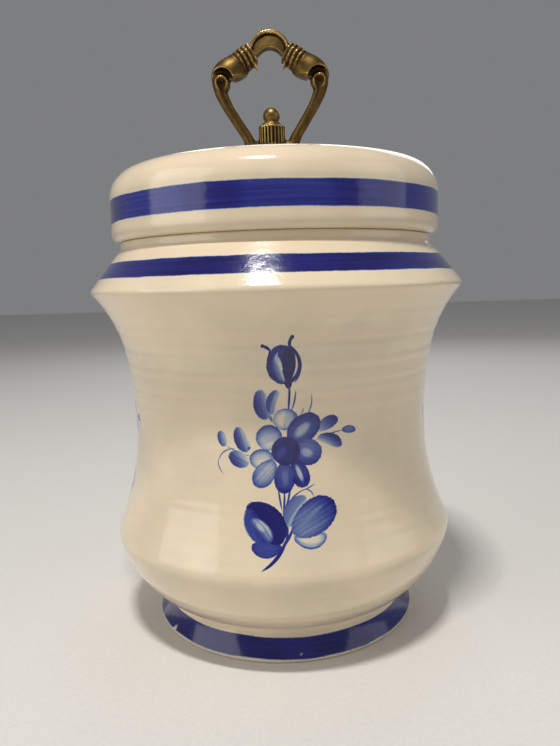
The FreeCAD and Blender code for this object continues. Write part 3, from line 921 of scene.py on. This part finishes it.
# ---------------------------------------------------------------- fittings that stay as the CAD made them
def plain_metal():
    material, graph, shader = new_material("fastener_brass", Metallic=1.0)
    place = object_place(graph)
    marks = graph.noise(place, 2.5, 3.0)
    color = graph.ramp(marks, [(0.3, srgb(160, 128, 70)), (0.7, srgb(206, 172, 100))])
    graph.feed(shader.inputs["Base Color"], color)
    graph.feed(shader.inputs["Roughness"], graph.math("MULTIPLY_ADD", marks, 0.3, 0.2))
    return material


def matte(name, dark, light, scale, bump_mm):
    material, graph, shader = new_material(name)
    place = object_place(graph)
    grain = graph.noise(place, scale, 5.0, 0.7)
    graph.feed(shader.inputs["Base Color"], graph.ramp(grain, [(0.35, dark), (0.65, light)]))
    graph.feed(shader.inputs["Roughness"], graph.math("MULTIPLY_ADD", grain, 0.3, 0.65))
    graph.feed(shader.inputs["Normal"], graph.bump(grain, 0.6, bump_mm))
    return material


def dress_fittings():
    metal = plain_metal()
    felt = matte("pad_felt", srgb(30, 34, 28), srgb(62, 66, 52), 2.6, 0.25)
    rubber = matte("washer_rubber", srgb(22, 22, 22), srgb(48, 46, 44), 1.2, 0.08)
    dressed = {
        "stud": metal,
        "plain_washer": metal,
        "hex_nut": metal,
        "handle_pad": felt,
        "inner_washer": rubber,
    }
    for node, material in dressed.items():
        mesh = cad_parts[node].data
        mesh.materials.clear()
        mesh.materials.append(material)


# ---------------------------------------------------------------- studio
def make_camera():
    place = Vector((0.4, -329.75, 164.75)) * MM
    pitch, roll, focal_px, long_side_px = 0.1385, -0.03, 654.1, 746
    forward = Vector((0, math.cos(pitch), -math.sin(pitch)))
    right = Vector((1, 0, 0))
    up = right.cross(forward)
    rolled_right = math.cos(roll) * right + math.sin(roll) * up
    rolled_up = math.cos(roll) * up - math.sin(roll) * right
    data = bpy.data.cameras.new("camera")
    data.sensor_width = 36
    data.lens = focal_px / long_side_px * data.sensor_width
    data.clip_start = 0.01
    camera = bpy.data.objects.new("camera", data)
    bpy.context.scene.collection.objects.link(camera)
    axes = Matrix((rolled_right, rolled_up, -forward)).transposed().to_4x4()
    camera.matrix_world = Matrix.Translation(place) @ axes
    bpy.context.scene.camera = camera


def area_light(name, place, target, size, power, color=(1, 1, 1)):
    data = bpy.data.lights.new(name, "AREA")
    data.shape = "RECTANGLE"
    data.size, data.size_y = size
    data.energy = power
    data.color = color
    lamp = bpy.data.objects.new(name, data)
    bpy.context.scene.collection.objects.link(lamp)
    lamp.location = place
    lamp.rotation_euler = (Vector(target) - Vector(place)).to_track_quat("-Z", "Y").to_euler()


def make_studio():
    reach = 4.0
    corners = [(-reach, -reach, 0), (reach, -reach, 0), (reach, reach, 0), (-reach, reach, 0)]
    floor = make_mesh("floor", corners, [(0, 1, 2, 3)])
    material, graph, shader = new_material("floor_paper", Roughness=0.85)
    place = object_place(graph)
    fibre = graph.noise(place, 0.5, 4.0)
    color = graph.ramp(fibre, [(0.3, srgb(222, 220, 216)), (0.7, srgb(228, 226, 222))])
    graph.feed(shader.inputs["Base Color"], color)
    floor.data.materials.append(material)
    area_light("key", (-0.1, -0.38, 1.15), (0, 0, 0.14), (0.18, 0.04), 8.4, (1.0, 0.97, 0.93))
    area_light("fill_left", (-1.2, -0.55, 0.6), (0, 0, 0.12), (1.1, 1.1), 5.0, (1.0, 0.98, 0.95))
    area_light("fill_right", (1.1, -0.3, 0.6), (0, 0, 0.12), (0.9, 0.9), 1.6)
    area_light("rim", (0.2, 1.1, 0.8), (0, 0, 0.2), (1.0, 0.6), 2.5)
    world = bpy.data.worlds.new("studio")
    world.use_nodes = True
    background = world.node_tree.nodes["Background"]
    background.inputs["Color"].default_value = (0.86, 0.87, 0.9, 1)
    background.inputs["Strength"].default_value = 0.24
    bpy.context.scene.world = world
    bpy.context.scene.view_settings.view_transform = "Standard"


make_camera()
make_studio()
make_body()
make_lid()
make_handle()
make_finial()
dress_fittings()
